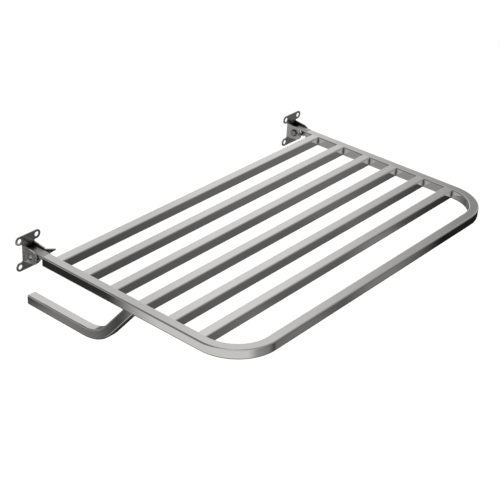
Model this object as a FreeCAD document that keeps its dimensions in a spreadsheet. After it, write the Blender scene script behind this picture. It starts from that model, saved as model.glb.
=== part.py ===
import FreeCAD, Part
import math
import os
import re
import Sketcher
from FreeCAD import Placement, Rotation, Vector

# A fold-up towel rack for a bathroom wall: a grille of square stainless steel tube, hinged on
# two wall brackets, with a hanging rail below its left arm.
#
# Frame: the wall is the plane Y = 0 and the rack stands out of it towards -Y. +Z is up and
# +X runs to the right as a person facing the wall sees it. The origin is midway between the
# two brackets, at the height of the tubes' centre lines and of the middle of each bracket.

document = FreeCAD.newDocument("fold_up_towel_rack")

SIZES = (
    ("overall_width", 600.0, "outer face of one side arm to the outer face of the other"),
    ("wall_to_front", 395.5, "wall to the front face of the front bar"),
    ("tube_side", 15.0, "outside of the square tube"),
    ("tube_wall", 1.5, "wall of the square tube"),
    ("tube_edge_radius", 2.0, "rounding of the tube's long edges, outside"),
    ("bend_radius", 61.0, "centre-line radius of every bend in a tube"),
    ("arm_end_from_wall", 37.5, "wall to the sawn rear end of a side arm"),
    ("slat_count", 6.0, "number of slats"),
    ("first_slat_from_wall", 57.0, "wall to the centre line of the rearmost slat"),
    ("bend_margin", 0.5, "front slat's front face to where the arms begin to bend"),
    ("cope_depth", 1.5, "how far a tube's end wraps over the rounding of the arm it meets"),
    ("weld_leg", 3.0, "leg of a weld fillet in a square corner"),
    ("sharp_weld_leg", 6.0, "leg of the weld in the sharp corner in front of the rail's link"),
    ("hook_drop", 76.2, "arm's centre line down to the hanging rail's"),
    ("hook_end_from_wall", 3.5, "wall to the hanging rail's free end"),
    ("hook_corner_from_wall", 145.8, "wall to where the rail's two centre lines cross"),
    ("hook_join_from_wall", 207.5, "wall to where the rail's link meets the arm's centre line"),
    ("cap_flange", 2.0, "visible thickness of the rail's end cap"),
    ("cap_edge_radius", 1.0, "rounding of the end cap's outer rim"),
    ("plug_clearance", 0.1, "gap round a plug that sits inside a tube, each side"),
    ("cap_plug_length", 12.0, "how far the end cap reaches into the rail"),
    ("plate_thickness", 1.5, "bracket's sheet against the wall"),
    ("screw_land", 1.25, "outer face of a cheek to the edge of a screw hole, level"),
    ("screws_up", 41.0, "screw hole to screw hole, upright"),
    ("screw_hole", 7.5, "screw hole's diameter"),
    ("ear_radius", 6.8, "rounding of the plate round each screw hole"),
    ("notch_fillet", 2.5, "rounding where an ear runs into the plate's waist"),
    ("cheek_thickness", 2.0, "thickness of a cheek"),
    ("cheek_height", 25.0, "height of a cheek at the wall"),
    ("nose_radius", 10.5, "radius of a cheek's round nose"),
    ("nose_margin", 1.5, "stop pin to the front of a cheek's nose"),
    ("flare_reach", 13.0, "length of the finger tab on the inner cheek, along its slant"),
    ("flare_height", 10.0, "height of the finger tab where it leaves the cheek"),
    ("flare_tip", 1.0, "height of the finger tab's blunt tip"),
    ("flare_top", 9.5, "top of the finger tab above the tube's centre line"),
    ("flare_setback", 3.5, "front of a cheek's nose back to the bend of the finger tab"),
    ("flare_angle", 45.0, "how far the finger tab is bent away from the cheek, in degrees"),
    ("pivot_from_wall", 15.5, "wall to the pivot's axis"),
    ("pivot_diameter", 6.0, "pivot pin's shank"),
    ("running_clearance", 0.1, "gap round the pivot pin in the knuckle, each side"),
    ("head_diameter", 10.0, "pivot pin's domed head"),
    ("head_height", 2.4, "height of the domed head"),
    ("nut_flats", 10.0, "pivot nut across its flats"),
    ("nut_height", 4.0, "height of the pivot nut"),
    ("nut_chamfer", 0.8, "chamfer on the nut's outer rim"),
    ("washer_diameter", 12.0, "pivot washers, outside"),
    ("washer_thickness", 0.9, "thickness of a pivot washer"),
    ("washer_gap", 0.1, "gap between a washer and the knuckle"),
    ("plug_length", 24.0, "how far a knuckle reaches into its arm"),
    ("stop_clearance", 0.5, "gap between the knuckle's eye and the stop pin"),
    ("stop_gap", 0.3, "gap between the knuckle's neck and the stop pin"),
    ("stop_diameter", 5.0, "stop pin's diameter"),
    ("stop_proud", 0.8, "how far the stop pin stands out of the outer cheek"),
    ("stop_chamfer", 0.6, "chamfer on the stop pin's outer end"),
)

sheet = document.addObject("Spreadsheet::Sheet", "Sizes")
for row, (alias, value, meaning) in enumerate(SIZES, start=1):
    sheet.set(f"A{row}", meaning)
    sheet.set(f"B{row}", str(value))
    sheet.setAlias(f"B{row}", alias)
document.recompute()

NAMES = {alias for alias, value, meaning in SIZES}

# Points closer together than this, in millimetres, count as one place.
SAME_PLACE = 1e-4

# Sizes that follow from the driving ones, as formulas in their names.
ARM_CENTRE = "(overall_width - tube_side) / 2"
HALF_TUBE = "tube_side / 2"
BORE_SIDE = "(tube_side - 2 * tube_wall)"
BORE_RADIUS = "(tube_edge_radius - tube_wall)"
PLUG_SIDE = "(tube_side - 2 * tube_wall - 2 * plug_clearance)"
CHEEK_GAP = "(tube_side + 2 * washer_thickness + 2 * washer_gap)"
CHEEK_OUTER = f"({CHEEK_GAP} / 2 + cheek_thickness)"
SCREW_X = f"({CHEEK_OUTER} + screw_land + screw_hole / 2)"
STOP_FROM_WALL = "(pivot_from_wall + tube_side / 2 + stop_clearance + stop_diameter / 2)"
NOSE_FROM_WALL = f"({STOP_FROM_WALL} + stop_diameter / 2 + nose_margin)"
BEND_START = "(wall_to_front - tube_side / 2 - bend_radius)"
LAST_SLAT = f"({BEND_START} - bend_margin - tube_side / 2)"
SLAT_PITCH = f"(({LAST_SLAT} - first_slat_from_wall) / (slat_count - 1))"
NECK_BOTTOM = "(stop_diameter / 2 + stop_gap)"
BORE_IN_KNUCKLE = "(pivot_diameter / 2 + running_clearance)"


def formula(text):
    """The same formula with the sheet's name in front of every driving size."""
    return re.sub(r"[a-z_]+", lambda word: "Sizes." + word[0] if word[0] in NAMES else word[0], text)


def number(text):
    """What a formula comes to with the sizes as they are."""
    return float(sheet.evalExpression(formula(text)))


def bind(item, prop, text):
    """Tie a property to a formula of the driving sizes."""
    item.setExpression(prop, formula(text))


def new_body(name, x=None, y=None, z=None):
    """A body with its own label, placed by formulas."""
    body = document.addObject("PartDesign::Body", name)
    body.Label = name
    for axis, text in (("x", x), ("y", y), ("z", z)):
        if text is not None:
            bind(body, "Placement.Base." + axis, text)
    return body


def new_sketch(body, role, name, x=None, y=None, out=None):
    """A sketch on one of the body's own origin planes, shifted in it and out of it by formulas."""
    sketch = body.newObject("Sketcher::SketchObject", name)
    plane = [item for item in body.Origin.OriginFeatures if item.Role == role][0]
    sketch.AttachmentSupport = (plane, "")
    sketch.MapMode = "FlatFace"
    for axis, text in (("x", x), ("y", y), ("z", out)):
        if text is not None:
            bind(sketch, "AttachmentOffset.Base." + axis, text)
    return sketch


def dimension(sketch, kind, places, text):
    """A dimension whose value is a formula."""
    index = sketch.addConstraint(Sketcher.Constraint(kind, *places, number(text)))
    bind(sketch, f"Constraints[{index}]", text)


def place(sketch, point, x=None, y=None):
    """Fix a point's coordinates from the sketch's origin, each by a formula."""
    for kind, axis_line, text in (("DistanceX", -2, x), ("DistanceY", -1, y)):
        if text is None:
            continue
        if abs(number(text)) < SAME_PLACE:
            sketch.addConstraint(Sketcher.Constraint("PointOnObject", *point, axis_line))
        elif number(text) > 0:
            dimension(sketch, kind, (-1, 1, *point), text)
        else:
            dimension(sketch, kind, (*point, -1, 1), f"-({text})")


def join(sketch, kind, pairs):
    """Coincident or tangent constraints between end points of neighbouring elements."""
    for first, second in pairs:
        sketch.addConstraint(Sketcher.Constraint(kind, *first, *second))


def line(sketch, start, end):
    """A line between two points given as (x, y)."""
    return sketch.addGeometry(Part.LineSegment(Vector(*start, 0), Vector(*end, 0)), False)


def arc(sketch, centre, radius, begin, end):
    """An arc that turns anticlockwise from one angle to another, in degrees."""
    circle = Part.Circle(Vector(*centre, 0), Vector(0, 0, 1), radius)
    return sketch.addGeometry(Part.ArcOfCircle(circle, math.radians(begin), math.radians(end)), False)


def rectangle(sketch, left, right, bottom, top):
    """An upright rectangle whose four sides are formulas."""
    x0, x1, y0, y1 = number(left), number(right), number(bottom), number(top)
    low = line(sketch, (x0, y0), (x1, y0))
    east = line(sketch, (x1, y0), (x1, y1))
    high = line(sketch, (x1, y1), (x0, y1))
    west = line(sketch, (x0, y1), (x0, y0))
    ring = (low, east, high, west, low)
    join(sketch, "Coincident", [((a, 2), (b, 1)) for a, b in zip(ring, ring[1:])])
    for side, kind in zip(ring, ("Horizontal", "Vertical", "Horizontal", "Vertical")):
        sketch.addConstraint(Sketcher.Constraint(kind, side))
    place(sketch, (low, 1), left, bottom)
    place(sketch, (high, 1), right, top)


def circle(sketch, x, y, radius):
    """A full circle whose centre and radius are formulas."""
    ring = Part.Circle(Vector(number(x), number(y), 0), Vector(0, 0, 1), number(radius))
    index = sketch.addGeometry(ring, False)
    dimension(sketch, "Radius", (index,), radius)
    place(sketch, (index, 3), x, y)


def rounded_square(sketch, side, radius):
    """A square with four round corners, centred on the sketch's origin."""
    half, r = number(side) / 2, number(radius)
    flat = half - r
    low = line(sketch, (-flat, -half), (flat, -half))
    east = line(sketch, (half, -flat), (half, flat))
    high = line(sketch, (flat, half), (-flat, half))
    west = line(sketch, (-half, flat), (-half, -flat))
    corners = [
        arc(sketch, (flat, -flat), r, 270, 360),
        arc(sketch, (flat, flat), r, 0, 90),
        arc(sketch, (-flat, flat), r, 90, 180),
        arc(sketch, (-flat, -flat), r, 180, 270),
    ]
    sides = (low, east, high, west)
    for here, corner, after in zip(sides, corners, (east, high, west, low)):
        join(sketch, "Tangent", [((here, 2), (corner, 1)), ((corner, 2), (after, 1))])
    for corner in corners[1:]:
        sketch.addConstraint(Sketcher.Constraint("Equal", corners[0], corner))
    dimension(sketch, "Radius", (corners[0],), radius)
    for here, kind in zip(sides, ("Horizontal", "Vertical", "Horizontal", "Vertical")):
        sketch.addConstraint(Sketcher.Constraint(kind, here))
    place(sketch, (low, 1), y=f"-({side}) / 2")
    place(sketch, (high, 1), y=f"({side}) / 2")
    place(sketch, (east, 1), x=f"({side}) / 2")
    place(sketch, (west, 1), x=f"-({side}) / 2")


def tube_section(sketch):
    """The square tube's wall: the outline and its bore."""
    rounded_square(sketch, "tube_side", "tube_edge_radius")
    rounded_square(sketch, BORE_SIDE, BORE_RADIUS)


def pad(body, sketch, name, length, backwards=False):
    """Raise a sketch by a formula."""
    feature = body.newObject("PartDesign::Pad", name)
    feature.Profile = sketch
    bind(feature, "Length", length)
    feature.Reversed = backwards
    return feature


def pocket(body, sketch, name, length, backwards=False):
    """Cut a sketch into the body by a formula, and make sure that it took something away."""
    document.recompute()
    before = body.Shape.Volume
    feature = body.newObject("PartDesign::Pocket", name)
    feature.Profile = sketch
    bind(feature, "Length", length)
    feature.Reversed = backwards
    document.recompute()
    if not body.Shape.Volume < before - 1e-6:
        raise ValueError(f"{body.Label}: {name} cuts nothing")
    return feature


def pipe(body, profile, path, name):
    """Carry a section along a path."""
    feature = body.newObject("PartDesign::AdditivePipe", name)
    feature.Profile = profile
    feature.Spine = (path, [])
    document.recompute()
    return feature


def edges_at(shape, test):
    """Names of the edges that lie wholly where a test of a point says."""
    names = []
    for index, edge in enumerate(shape.Edges, start=1):
        first, last = edge.ParameterRange
        points = [edge.valueAt(first + (last - first) * step / 4) for step in range(5)]
        if all(test(point) for point in points):
            names.append(f"Edge{index}")
    return names


def dress_edges(body, kind, name, prop, text, test):
    """Round or chamfer the edges that a test picks, by a formula."""
    document.recompute()
    base = body.Tip
    edges = edges_at(base.Shape, test)
    if not edges:
        raise ValueError(f"{body.Label}: {name} finds no edge")
    feature = body.newObject("PartDesign::" + kind, name)
    feature.Base = (base, edges)
    bind(feature, prop, text)


# ---- the rack ---------------------------------------------------------------------------


def frame_tube():
    """Side arms and front bar, one tube bent twice: a U that opens towards the wall."""
    body = new_body("frame_tube")
    x, rear = number(ARM_CENTRE), -number("arm_end_from_wall")
    front, r = -number(f"wall_to_front - {HALF_TUBE}"), number("bend_radius")
    path = new_sketch(body, "XY_Plane", "frame_path")
    left = line(path, (-x, rear), (-x, front + r))
    left_bend = arc(path, (-x + r, front + r), r, 180, 270)
    bar = line(path, (-x + r, front), (x - r, front))
    right_bend = arc(path, (x - r, front + r), r, 270, 360)
    right = line(path, (x, front + r), (x, rear))
    joints = [((left, 2), (left_bend, 1)), ((left_bend, 2), (bar, 1))]
    joints += [((bar, 2), (right_bend, 1)), ((right_bend, 2), (right, 1))]
    join(path, "Tangent", joints)
    path.addConstraint(Sketcher.Constraint("Equal", left_bend, right_bend))
    dimension(path, "Radius", (left_bend,), "bend_radius")
    for here, kind in ((left, "Vertical"), (bar, "Horizontal"), (right, "Vertical")):
        path.addConstraint(Sketcher.Constraint(kind, here))
    place(path, (left, 1), f"-({ARM_CENTRE})", "-arm_end_from_wall")
    place(path, (right, 2), ARM_CENTRE, "-arm_end_from_wall")
    place(path, (bar, 1), y=f"-(wall_to_front - {HALF_TUBE})")
    section = new_sketch(
        body, "XZ_Plane", "frame_section", x=f"-({ARM_CENTRE})", out="arm_end_from_wall"
    )
    tube_section(section)
    pipe(body, section, path, "frame_bend")
    return body


def slat(index):
    """A straight tube between the arms, its ends coped over the rounding of both arms."""
    name = f"slat_{index + 1}"
    body = new_body(name, y=f"-(first_slat_from_wall + {index} * {SLAT_PITCH})")
    reach = "(overall_width / 2 - tube_side + cope_depth)"
    section = new_sketch(body, "YZ_Plane", f"{name}_section", out=f"-{reach}")
    tube_section(section)
    pad(body, section, f"{name}_tube", f"2 * {reach}")
    for side, word in ((-1, "left"), (1, "right")):
        cope = new_sketch(
            body, "XZ_Plane", f"{name}_{word}_cope", x=f"{side} * {ARM_CENTRE}", out="-tube_side"
        )
        rounded_square(cope, "tube_side", "tube_edge_radius")
        pocket(body, cope, f"{name}_{word}_cut", "2 * tube_side", backwards=True)
    return body


def hook_rail():
    """The hanging rail: it leaves the left arm's underside on a slant and runs back level."""
    body = new_body("hook_rail")
    start = "(hook_end_from_wall + cap_flange)"
    y0, z0 = -number(start), -number("hook_drop")
    corner, top = -number("hook_corner_from_wall"), -number("hook_join_from_wall")
    r = number("bend_radius")
    slope = math.atan2(-z0, corner - top)
    tangent = r * math.tan(slope / 2)
    link_start = (corner - tangent * math.cos(slope), z0 + tangent * math.sin(slope))
    path = new_sketch(body, "YZ_Plane", "hook_path", out=f"-({ARM_CENTRE})")
    run = line(path, (y0, z0), (corner + tangent, z0))
    bend = arc(path, (corner + tangent, z0 + r), r, 270 - math.degrees(slope), 270)
    link = line(path, link_start, (top, 0))
    crossing = path.addGeometry(Part.Point(Vector(corner, z0, 0)), True)
    join(path, "Tangent", [((run, 2), (bend, 2)), ((bend, 1), (link, 1))])
    dimension(path, "Radius", (bend,), "bend_radius")
    path.addConstraint(Sketcher.Constraint("Horizontal", run))
    place(path, (run, 1), f"-{start}", "-hook_drop")
    place(path, (link, 2), "-hook_join_from_wall", "0 * hook_drop")
    place(path, (crossing, 1), "-hook_corner_from_wall", "-hook_drop")
    path.addConstraint(Sketcher.Constraint("PointOnObject", crossing, 1, link))
    section = new_sketch(
        body, "XZ_Plane", "hook_section", x=f"-({ARM_CENTRE})", y="-hook_drop", out=start
    )
    tube_section(section)
    pipe(body, section, path, "hook_bend")
    # The link's top is cut level just above the arm's underside on the outer side, and flush
    # with it on the inner side, where a slat's end may wrap over the arm's edge.
    levels = (
        ("outer", "-overall_width", f"cope_depth - {HALF_TUBE}"),
        ("inner", "-(overall_width / 2 - tube_side + 2 * cope_depth)", f"-{HALF_TUBE}"),
    )
    for label, left, low in levels:
        level = new_sketch(body, "XY_Plane", f"hook_{label}_level", out=low)
        rectangle(level, left, "0 * overall_width", "-wall_to_front", "0 * overall_width")
        pocket(body, level, f"hook_{label}_level_cut", "2 * tube_side", backwards=True)
    cope = new_sketch(body, "XZ_Plane", "hook_cope", x=f"-({ARM_CENTRE})")
    rounded_square(cope, "tube_side", "tube_edge_radius")
    pocket(body, cope, "hook_cope_cut", "wall_to_front", backwards=True)
    return body


def hook_end_cap():
    """The plug that closes the hanging rail's free end: a flange and a spigot in the bore."""
    body = new_body("hook_end_cap", x=f"-({ARM_CENTRE})", z="-hook_drop")
    face = new_sketch(body, "XZ_Plane", "cap_face", out="hook_end_from_wall")
    rounded_square(face, "tube_side", "tube_edge_radius")
    pad(body, face, "cap_flange_pad", "cap_flange")
    spigot = new_sketch(body, "XZ_Plane", "cap_spigot", out="hook_end_from_wall + cap_flange")
    rounded_square(spigot, PLUG_SIDE, BORE_RADIUS)
    pad(body, spigot, "cap_spigot_pad", "cap_plug_length")
    rim_y = -number("hook_end_from_wall")
    dress_edges(
        body, "Fillet", "cap_rim", "Radius", "cap_edge_radius", lambda p: abs(p.y - rim_y) < SAME_PLACE
    )
    return body


def fillet_bead(corner, along_a, along_b, leg, direction, length):
    """A weld bead: a corner filled to a hollow quarter round, carried along a straight seam.

    corner is where the two plates meet, along_a and along_b are unit vectors up the two plates.
    """
    a = corner + along_a * leg
    b = corner + along_b * leg
    bisector = (along_a + along_b).normalize()
    half_angle = along_a.getAngle(along_b) / 2
    radius = leg * math.tan(half_angle)
    middle = corner + bisector * (leg / math.cos(half_angle) - radius)
    outline = (Part.LineSegment(corner, a), Part.Arc(a, middle, b), Part.LineSegment(b, corner))
    wire = Part.Wire([edge.toShape() for edge in outline])
    return Part.Face(wire).extrude(direction * length)


def slat_welds():
    """A weld bead up the rear corner of every slat's end, between the slat and its arm."""
    leg = number("weld_leg")
    flat = number("tube_side - 2 * tube_edge_radius")
    up = Vector(0, 0, 1)
    beads = []
    for index in range(round(number("slat_count"))):
        rear = number(f"-(first_slat_from_wall + {index} * {SLAT_PITCH}) + {HALF_TUBE}")
        for side in (-1, 1):
            corner = Vector(side * number("overall_width / 2 - tube_side"), rear, -flat / 2)
            inwards = Vector(-side, 0, 0)
            beads.append(fillet_bead(corner, inwards, Vector(0, 1, 0), leg, up, flat))
    return solid_group("slat_welds", beads)


def hook_weld():
    """The two weld beads where the rail's link meets the arm's underside, behind and in front."""
    drop, half = number("hook_drop"), number(HALF_TUBE)
    run_back = number("hook_join_from_wall - hook_corner_from_wall")
    link = Vector(0, run_back, -drop).normalize()
    sideways = half / (drop / math.hypot(drop, run_back))
    middle = -number("hook_join_from_wall") + half * run_back / drop
    width = number("tube_side - 2 * tube_edge_radius")
    beads = []
    for side, size in ((1, number("weld_leg")), (-1, number("sharp_weld_leg"))):
        corner = Vector(-number(ARM_CENTRE) - width / 2, middle + side * sideways, -half)
        beads.append(fillet_bead(corner, Vector(0, side, 0), link, size, Vector(1, 0, 0), width))
    return solid_group("hook_weld", beads)


def solid_group(name, solids):
    """Several solids of one kind under one name."""
    feature = document.addObject("Part::Feature", name)
    feature.Label = name
    feature.Shape = Part.makeCompound(solids)
    feature.Placement = Placement(Vector(0, 0, 0), Rotation())
    return feature


def knuckle(side, word):
    """The arm's end fitting: an eye on the pivot, a neck over the stop pin, a plug in the tube."""
    name = f"{word}_knuckle"
    body = new_body(name, x=f"{side} * {ARM_CENTRE}")
    eye = new_sketch(body, "YZ_Plane", f"{name}_eye", out=f"-{HALF_TUBE}")
    circle(eye, "-pivot_from_wall", "0 * pivot_from_wall", HALF_TUBE)
    pad(body, eye, f"{name}_eye_pad", "tube_side")
    neck = new_sketch(body, "YZ_Plane", f"{name}_neck", out=f"-{HALF_TUBE}")
    rectangle(neck, "-arm_end_from_wall", "-pivot_from_wall", NECK_BOTTOM, HALF_TUBE)
    pad(body, neck, f"{name}_neck_pad", "tube_side")
    plug = new_sketch(body, "XZ_Plane", f"{name}_plug", out="arm_end_from_wall")
    rounded_square(plug, PLUG_SIDE, BORE_RADIUS)
    pad(body, plug, f"{name}_plug_pad", "plug_length")
    bore = new_sketch(body, "YZ_Plane", f"{name}_bore", out=f"-{HALF_TUBE}")
    circle(bore, "-pivot_from_wall", "0 * pivot_from_wall", BORE_IN_KNUCKLE)
    pocket(body, bore, f"{name}_bore_cut", "tube_side", backwards=True)
    return body


# ---- the wall brackets --------------------------------------------------------------------


def slot(sketch, half_length, height, radius):
    """A level bar with round ends, centred on the upright axis."""
    x, y, r = number(half_length), number(height), number(radius)
    right = arc(sketch, (x, y), r, -90, 90)
    top = line(sketch, (x, y + r), (-x, y + r))
    left = arc(sketch, (-x, y), r, 90, 270)
    low = line(sketch, (-x, y - r), (x, y - r))
    join(sketch, "Tangent", [((right, 2), (top, 1)), ((top, 2), (left, 1))])
    join(sketch, "Tangent", [((left, 2), (low, 1)), ((low, 2), (right, 1))])
    sketch.addConstraint(Sketcher.Constraint("Equal", left, right))
    dimension(sketch, "Radius", (left,), radius)
    sketch.addConstraint(Sketcher.Constraint("Horizontal", top))
    place(sketch, (right, 3), half_length, height)
    place(sketch, (left, 3), x=f"-({half_length})")


def cheek_outline(sketch):
    """A cheek seen from the side: a wedge that narrows from the wall to a round nose."""
    half, r = number("cheek_height / 2"), number("nose_radius")
    centre = -number(f"{NOSE_FROM_WALL} - nose_radius")
    distance = math.hypot(centre, half)
    angle = math.degrees(math.atan2(half, -centre) + math.acos(r / distance))
    contact = (centre + r * math.cos(math.radians(angle)), r * math.sin(math.radians(angle)))
    wall = line(sketch, (0, -half), (0, half))
    high = line(sketch, (0, half), contact)
    nose = arc(sketch, (centre, 0), r, angle, 360 - angle)
    low = line(sketch, (contact[0], -contact[1]), (0, -half))
    join(sketch, "Coincident", [((wall, 2), (high, 1)), ((low, 2), (wall, 1))])
    join(sketch, "Tangent", [((high, 2), (nose, 1)), ((nose, 2), (low, 1))])
    dimension(sketch, "Radius", (nose,), "nose_radius")
    place(sketch, (nose, 3), f"-({NOSE_FROM_WALL} - nose_radius)", "0 * nose_radius")
    place(sketch, (wall, 1), "0 * cheek_height", "-cheek_height / 2")
    place(sketch, (wall, 2), "0 * cheek_height", "cheek_height / 2")


def finger_tab(sketch, side):
    """The tab's outline in its own slanted plane: level on top and cut back below to a point."""
    reach, top = side * number("flare_reach"), number("flare_top")
    height, tip = number("flare_height"), number("flare_tip")
    points = [(0, top - height), (reach, top - tip), (reach, top), (0, top)]
    ring = [line(sketch, a, b) for a, b in zip(points, points[1:] + points[:1])]
    join(sketch, "Coincident", [((a, 2), (b, 1)) for a, b in zip(ring, ring[1:] + ring[:1])])
    place(sketch, (ring[0], 1), "0 * flare_top", "flare_top - flare_height")
    place(sketch, (ring[1], 1), f"{side} * flare_reach", "flare_top - flare_tip")
    place(sketch, (ring[2], 1), f"{side} * flare_reach", "flare_top")
    place(sketch, (ring[3], 1), "0 * flare_top", "flare_top")


def wall_bracket(side, word):
    """One bent sheet: a plate with four eared screw holes and two cheeks folded out of it.

    The inner cheek, on the rack's side, ends in a finger tab flared out from it.
    """
    name = f"{word}_wall_bracket"
    body = new_body(name, x=f"{side} * {ARM_CENTRE}")
    for level, sign in (("upper", 1), ("lower", -1)):
        bar = new_sketch(body, "XZ_Plane", f"{name}_{level}_bar")
        slot(bar, SCREW_X, f"{sign} * screws_up / 2", "ear_radius")
        pad(body, bar, f"{name}_{level}_bar_pad", "plate_thickness")
        if level == "upper":
            waist = new_sketch(body, "XZ_Plane", f"{name}_waist")
            rectangle(waist, f"-{CHEEK_OUTER}", CHEEK_OUTER, "-screws_up / 2", "screws_up / 2")
            pad(body, waist, f"{name}_waist_pad", "plate_thickness")
    x, z = number(CHEEK_OUTER), number("screws_up / 2 - ear_radius")
    dress_edges(
        body, "Fillet", f"{name}_notches", "Radius", "notch_fillet",
        lambda p: abs(abs(p.x) - x) < SAME_PLACE and abs(abs(p.z) - z) < SAME_PLACE,
    )
    cheeks = new_sketch(body, "YZ_Plane", f"{name}_cheeks", out=f"-{CHEEK_OUTER}")
    cheek_outline(cheeks)
    pad(body, cheeks, f"{name}_cheeks_pad", f"2 * {CHEEK_OUTER}")
    channel = new_sketch(body, "XY_Plane", f"{name}_channel", out="-cheek_height")
    half_gap = f"{CHEEK_GAP} / 2"
    rectangle(channel, f"-{half_gap}", half_gap, f"-2 * {NOSE_FROM_WALL}", "-plate_thickness")
    pocket(body, channel, f"{name}_channel_cut", "2 * cheek_height", backwards=True)
    tab = new_sketch(body, "XZ_Plane", f"{name}_tab")
    finger_tab(tab, -side)
    turn = Rotation(Vector(0, 1, 0), side * number("flare_angle"))
    tab.AttachmentOffset = Placement(Vector(0, 0, 0), turn)
    bind(tab, "AttachmentOffset.Base.x", f"{-side} * {CHEEK_OUTER}")
    bind(tab, "AttachmentOffset.Base.z", f"{NOSE_FROM_WALL} - flare_setback")
    pad(body, tab, f"{name}_tab_pad", "cheek_thickness")
    for label, across, up in (("a", -1, 1), ("b", 1, 1), ("c", -1, -1), ("d", 1, -1)):
        hole = new_sketch(body, "XZ_Plane", f"{name}_hole_{label}")
        circle(hole, f"{across} * {SCREW_X}", f"{up} * screws_up / 2", "screw_hole / 2")
        pocket(body, hole, f"{name}_hole_{label}_cut", "plate_thickness", backwards=True)
    for label, along, radius in (
        ("pivot", "-pivot_from_wall", "pivot_diameter / 2"),
        ("stop", f"-{STOP_FROM_WALL}", "stop_diameter / 2"),
    ):
        hole = new_sketch(body, "YZ_Plane", f"{name}_{label}_hole", out=f"-{CHEEK_OUTER}")
        circle(hole, along, "0 * pivot_from_wall", radius)
        pocket(body, hole, f"{name}_{label}_hole_cut", f"2 * {CHEEK_OUTER}", backwards=True)
    return body


def pivot_pin(side, word):
    """A turned pin with a domed head against the outer cheek; its end fills the nut."""
    name = f"{word}_pivot_pin"
    body = new_body(name, x=f"{side} * {ARM_CENTRE}", y="-pivot_from_wall")
    head, tail = number(CHEEK_OUTER), number(f"{CHEEK_OUTER} + nut_height")
    r, big, high = number("pivot_diameter / 2"), number("head_diameter / 2"), number("head_height")
    dome = (big * big + high * high) / (2 * high)
    middle = side * (head + high - dome)
    sweep = math.degrees(math.asin(big / dome))
    profile = new_sketch(body, "XY_Plane", f"{name}_profile")
    points = [
        (side * (head + high), 0),
        (-side * tail, 0),
        (-side * tail, r),
        (side * head, r),
        (side * head, big),
    ]
    steps = [line(profile, a, b) for a, b in zip(points, points[1:])]
    begin, end = (0, sweep) if side > 0 else (180 - sweep, 180)
    crown = arc(profile, (middle, 0), dome, begin, end)
    rim, pole = (2, 1) if side > 0 else (1, 2)
    join(profile, "Coincident", [((a, 2), (b, 1)) for a, b in zip(steps, steps[1:])])
    join(profile, "Coincident", [((steps[3], 2), (crown, rim)), ((crown, pole), (steps[0], 1))])
    profile.addConstraint(Sketcher.Constraint("PointOnObject", crown, 3, -1))
    place(profile, (steps[0], 1), f"{side} * ({CHEEK_OUTER} + head_height)", "0 * head_height")
    place(profile, (steps[1], 1), f"{-side} * ({CHEEK_OUTER} + nut_height)", "0 * head_height")
    place(profile, (steps[2], 1), f"{-side} * ({CHEEK_OUTER} + nut_height)", "pivot_diameter / 2")
    place(profile, (steps[3], 1), f"{side} * {CHEEK_OUTER}", "pivot_diameter / 2")
    place(profile, (steps[3], 2), f"{side} * {CHEEK_OUTER}", "head_diameter / 2")
    turned = body.newObject("PartDesign::Revolution", f"{name}_turned")
    turned.Profile = profile
    turned.ReferenceAxis = (profile, ["H_Axis"])
    turned.Angle = 360
    return body


def ring_body(name, side, out, outer, inner, thickness):
    """A flat ring on the pivot's axis, from a distance out of the arm's middle plane."""
    body = new_body(name, x=f"{side} * {ARM_CENTRE}", y="-pivot_from_wall")
    section = new_sketch(body, "YZ_Plane", f"{name}_ring", out=out)
    circle(section, "0 * pivot_diameter", "0 * pivot_diameter", outer)
    circle(section, "0 * pivot_diameter", "0 * pivot_diameter", inner)
    pad(body, section, f"{name}_pad", thickness)
    return body


def washers(side, word):
    """Two plastic washers that keep the knuckle off the cheeks."""
    made = []
    for label, where in (("outer", side), ("inner", -side)):
        out = f"{CHEEK_GAP} / 2 - washer_thickness" if where > 0 else f"-{CHEEK_GAP} / 2"
        ring = ("washer_diameter / 2", BORE_IN_KNUCKLE, "washer_thickness")
        made.append(ring_body(f"{word}_{label}_washer", side, out, *ring))
    return made


def pivot_nut(side, word):
    """A hexagon nut on the pin's end, against the inner cheek."""
    name = f"{word}_pivot_nut"
    body = new_body(name, x=f"{side} * {ARM_CENTRE}", y="-pivot_from_wall")
    out = CHEEK_OUTER if side < 0 else f"-({CHEEK_OUTER} + nut_height)"
    outline = new_sketch(body, "YZ_Plane", f"{name}_outline", out=out)
    corner = number("nut_flats") / math.sqrt(3)
    turns = [math.radians(60 * index) for index in range(6)]
    points = [(corner * math.cos(turn), corner * math.sin(turn)) for turn in turns]
    ring = [line(outline, a, b) for a, b in zip(points, points[1:] + points[:1])]
    guide = outline.addGeometry(Part.Circle(Vector(0, 0, 0), Vector(0, 0, 1), corner), True)
    join(outline, "Coincident", [((a, 2), (b, 1)) for a, b in zip(ring, ring[1:] + ring[:1])])
    outline.addConstraint(Sketcher.Constraint("Coincident", guide, 3, -1, 1))
    for side_line in ring:
        outline.addConstraint(Sketcher.Constraint("PointOnObject", side_line, 1, guide))
    for side_line in ring[1:]:
        outline.addConstraint(Sketcher.Constraint("Equal", ring[0], side_line))
    outline.addConstraint(Sketcher.Constraint("PointOnObject", ring[0], 1, -1))
    dimension(outline, "Radius", (guide,), "nut_flats / sqrt(3)")
    circle(outline, "0 * nut_flats", "0 * nut_flats", "pivot_diameter / 2")
    pad(body, outline, f"{name}_pad", "nut_height")
    face_x = -side * number(f"{CHEEK_OUTER} + nut_height")
    bore = number("pivot_diameter / 2")
    dress_edges(
        body, "Chamfer", f"{name}_bevel", "Size", "nut_chamfer",
        lambda p: abs(p.x - face_x) < SAME_PLACE and math.hypot(p.y, p.z) > bore + SAME_PLACE,
    )
    return body


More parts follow.
